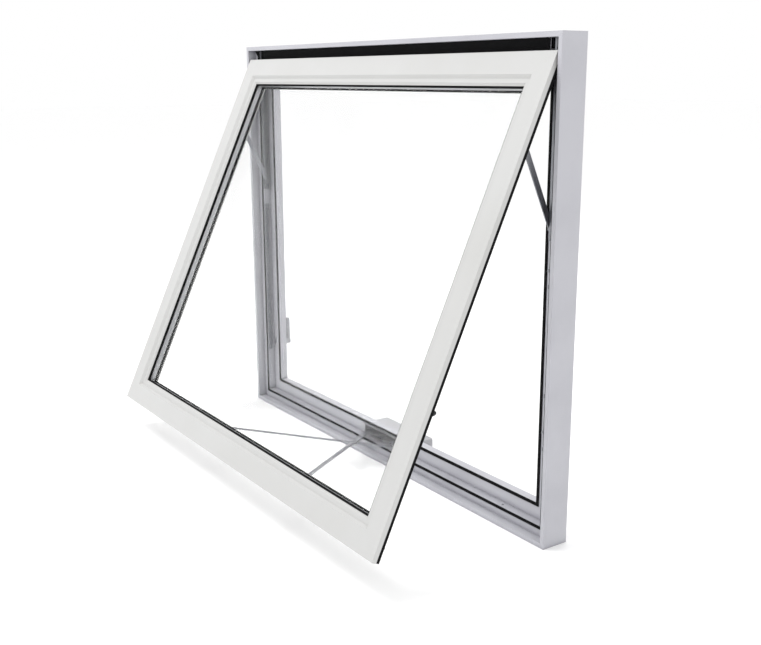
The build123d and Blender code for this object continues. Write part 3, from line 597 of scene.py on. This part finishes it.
    def knob(self) -> bpy.types.Object:
        """Build the crank's turned knob with finger flutes.

        Returns:
            The knob.
        """
        place = joint_placing("knob_spin")
        mesh = bmesh.new()
        sides, rings = 48, 14
        previous: list[bmesh.types.BMVert] | None = None
        for step in range(rings + 1):
            share = step / rings
            height = -self.knob_half + 2 * self.knob_half * share
            swell = math.sin(math.pi * min(1.0, share * 1.05)) ** 0.7
            radius = self.knob_end + self.knob_belly * swell
            ring = []
            for i in range(sides):
                angle = 2 * math.pi * i / sides
                wave = (1 - math.cos(self.flutes * angle)) / 2
                cut = radius - self.flute_depth * wave * math.sin(math.pi * share)
                ring.append(mesh.verts.new(place.at(cut * math.cos(angle), cut * math.sin(angle), height)))
            if previous:
                for i in range(sides):
                    j = (i + 1) % sides
                    mesh.faces.new((previous[i], previous[j], ring[j], ring[i]))
            else:
                mesh.faces.new(ring[::-1])
            previous = ring
        mesh.faces.new(previous)
        return new_piece("fluted_crank_knob", mesh, "crank_knob", ACETAL, ("crank_knob",), 50.0)

    def build(self) -> list[bpy.types.Object]:
        """Build every part of the operator that Blender adds."""
        return [self.sector("left"), self.sector("right"), self.worm(), self.knob()]


@dataclass
class CoverScrews:
    """The operator cover's two pan-head screws, in place of the plain CAD ones."""

    head_radius: float = 3.6 * MM
    head_rise: float = 1.9 * MM
    seat_depth: float = 1.2 * MM
    shank_radius: float = 1.85 * MM
    shank_length: float = 5 * MM

    def head(self, mesh: bmesh.types.BMesh, place: Placing) -> None:
        """Add one domed head, dished in the middle round a small cross.

        Args:
            mesh: The mesh to add to.
            place: The seat's centre, with up out of the surface.
        """
        rim, rise = self.head_radius, self.head_rise
        dome = [(rim, 0.0), (rim, 0.35 * rise), (0.93 * rim, 0.62 * rise), (0.78 * rim, 0.82 * rise),
                (0.6 * rim, 0.94 * rise), (0.5 * rim, rise), (0.5 * rim, 0.9 * rise), (0.0, 0.55 * rise)]
        lathe(mesh, place, dome, 28)
        arm, half = 0.47 * rim, 0.11 * rim
        for turn in (0.0, math.pi / 2):
            prism(mesh, place.turned(turn), [(-arm, -half), (arm, -half), (arm, half), (-arm, half)],
                  0.5 * rise, 0.8 * rise)

    def build(self) -> bpy.types.Object:
        """Build both screws, seated where the CAD screws are.

        Returns:
            The screws as one piece.
        """
        low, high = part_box("operator_screws")
        rim = (high[2] - low[2]) / 2
        out, ahead = Vector((0, 1, 0)), Vector((0, 0, 1))
        mesh = bmesh.new()
        for x in (low[0] + rim, high[0] - rim):
            seat = Vector((x, high[1] - self.seat_depth, (low[2] + high[2]) / 2))
            place = Placing(seat, ahead.cross(out), ahead, out)
            self.head(mesh, place)
            lathe(mesh, place, [(self.shank_radius, -self.shank_length), (self.shank_radius, 0.0)], 16)
        return new_piece("cover_screws", mesh, "frame", STAINLESS, ("operator_screws",))


@dataclass(frozen=True)
class Lamp:
    """One soft square light.

    Attributes:
        name: Its name.
        place: Where it hangs.
        aim: What it faces.
        size: Its side in metres.
        power: Its power in watts.
    """

    name: str
    place: tuple[float, float, float]
    aim: tuple[float, float, float]
    size: float
    power: float

    def hang(self) -> None:
        """Add the light to the scene."""
        data = bpy.data.lights.new(self.name, "AREA")
        data.size = self.size
        data.energy = self.power
        lamp = bpy.data.objects.new(self.name, data)
        lamp.location = self.place
        lamp.rotation_euler = (Vector(self.aim) - Vector(self.place)).to_track_quat("-Z", "Y").to_euler()
        bpy.context.scene.collection.objects.link(lamp)


@dataclass
class Studio:
    """A pale floor, soft light and the camera."""

    floor_size: float = 60.0
    floor_colour: str = "#ffffff"
    camera_place: tuple[float, float, float] = (1.9663, -1.3655, 0.9308)
    azimuth: float = 55.383
    elevation: float = 13.691
    roll: float = -0.184
    lens: float = 47.77
    lamps: tuple[Lamp, ...] = (
        Lamp("key", (-0.8, -1.6, 4.2), (0, -0.1, 0.4), 1.6, 80.0),
        Lamp("fill", (3.2, -1.2, 2.2), (0, 0, 0.5), 2.4, 3.0),
        Lamp("room", (-0.8, 1.7, 3.6), (0, 0, 0.0), 1.6, 26.0),
    )

    def floor(self) -> None:
        """Lay the floor at the sill's underside."""
        mesh = bmesh.new()
        half = self.floor_size / 2
        corners = [mesh.verts.new((x, y, 0.0)) for x, y in
                   ((-half, -half), (half, -half), (half, half), (-half, half))]
        mesh.faces.new(corners)
        data = bpy.data.meshes.new("studio_floor")
        mesh.to_mesh(data)
        mesh.free()
        floor = bpy.data.objects.new("studio_floor", data)
        bpy.context.scene.collection.objects.link(floor)
        material = bpy.data.materials.new("studio_paper")
        material.use_nodes = True
        shader = material.node_tree.nodes["Principled BSDF"]
        shader.inputs["Base Color"].default_value = linear(self.floor_colour)
        shader.inputs["Roughness"].default_value = 0.9
        shader.inputs["Specular IOR Level"].default_value = 0.1
        data.materials.append(material)

    def world(self) -> None:
        """Surround the object with even white light."""
        scene = bpy.context.scene
        if scene.world is None:
            scene.world = bpy.data.worlds.new("studio")
        scene.world.use_nodes = True
        sky = scene.world.node_tree.nodes["Background"]
        sky.inputs["Color"].default_value = (1.0, 1.0, 1.0, 1.0)
        sky.inputs["Strength"].default_value = 1.0
        scene.view_settings.view_transform = "Standard"

    def camera(self) -> None:
        """Set the camera level with the head, out in front and to the right."""
        a, e, r = (math.radians(v) for v in (self.azimuth, self.elevation, self.roll))
        ahead = Vector((-math.sin(a) * math.cos(e), math.cos(a) * math.cos(e), -math.sin(e)))
        right = Vector((math.cos(a), math.sin(a), 0.0))
        up = right.cross(ahead)
        right, up = right * math.cos(r) + up * math.sin(r), up * math.cos(r) - right * math.sin(r)
        data = bpy.data.cameras.new("camera")
        data.lens = self.lens
        data.sensor_width = 36.0
        camera = bpy.data.objects.new("camera", data)
        camera.matrix_world = Matrix.Translation(self.camera_place) @ Matrix(
            (right, up, -ahead)).transposed().to_4x4()
        bpy.context.scene.collection.objects.link(camera)
        bpy.context.scene.camera = camera

    def build(self) -> None:
        """Set up floor, lights, world and camera."""
        self.floor()
        self.world()
        for lamp in self.lamps:
            lamp.hang()
        self.camera()


def main() -> None:
    """Dress the CAD parts, build the finer parts and set up the studio."""
    logging.basicConfig(level=logging.INFO, format="%(message)s")
    CadDress().dress()
    Operator().build()
    CoverScrews().build()
    Studio().build()


if __name__ == "__main__":
    main()
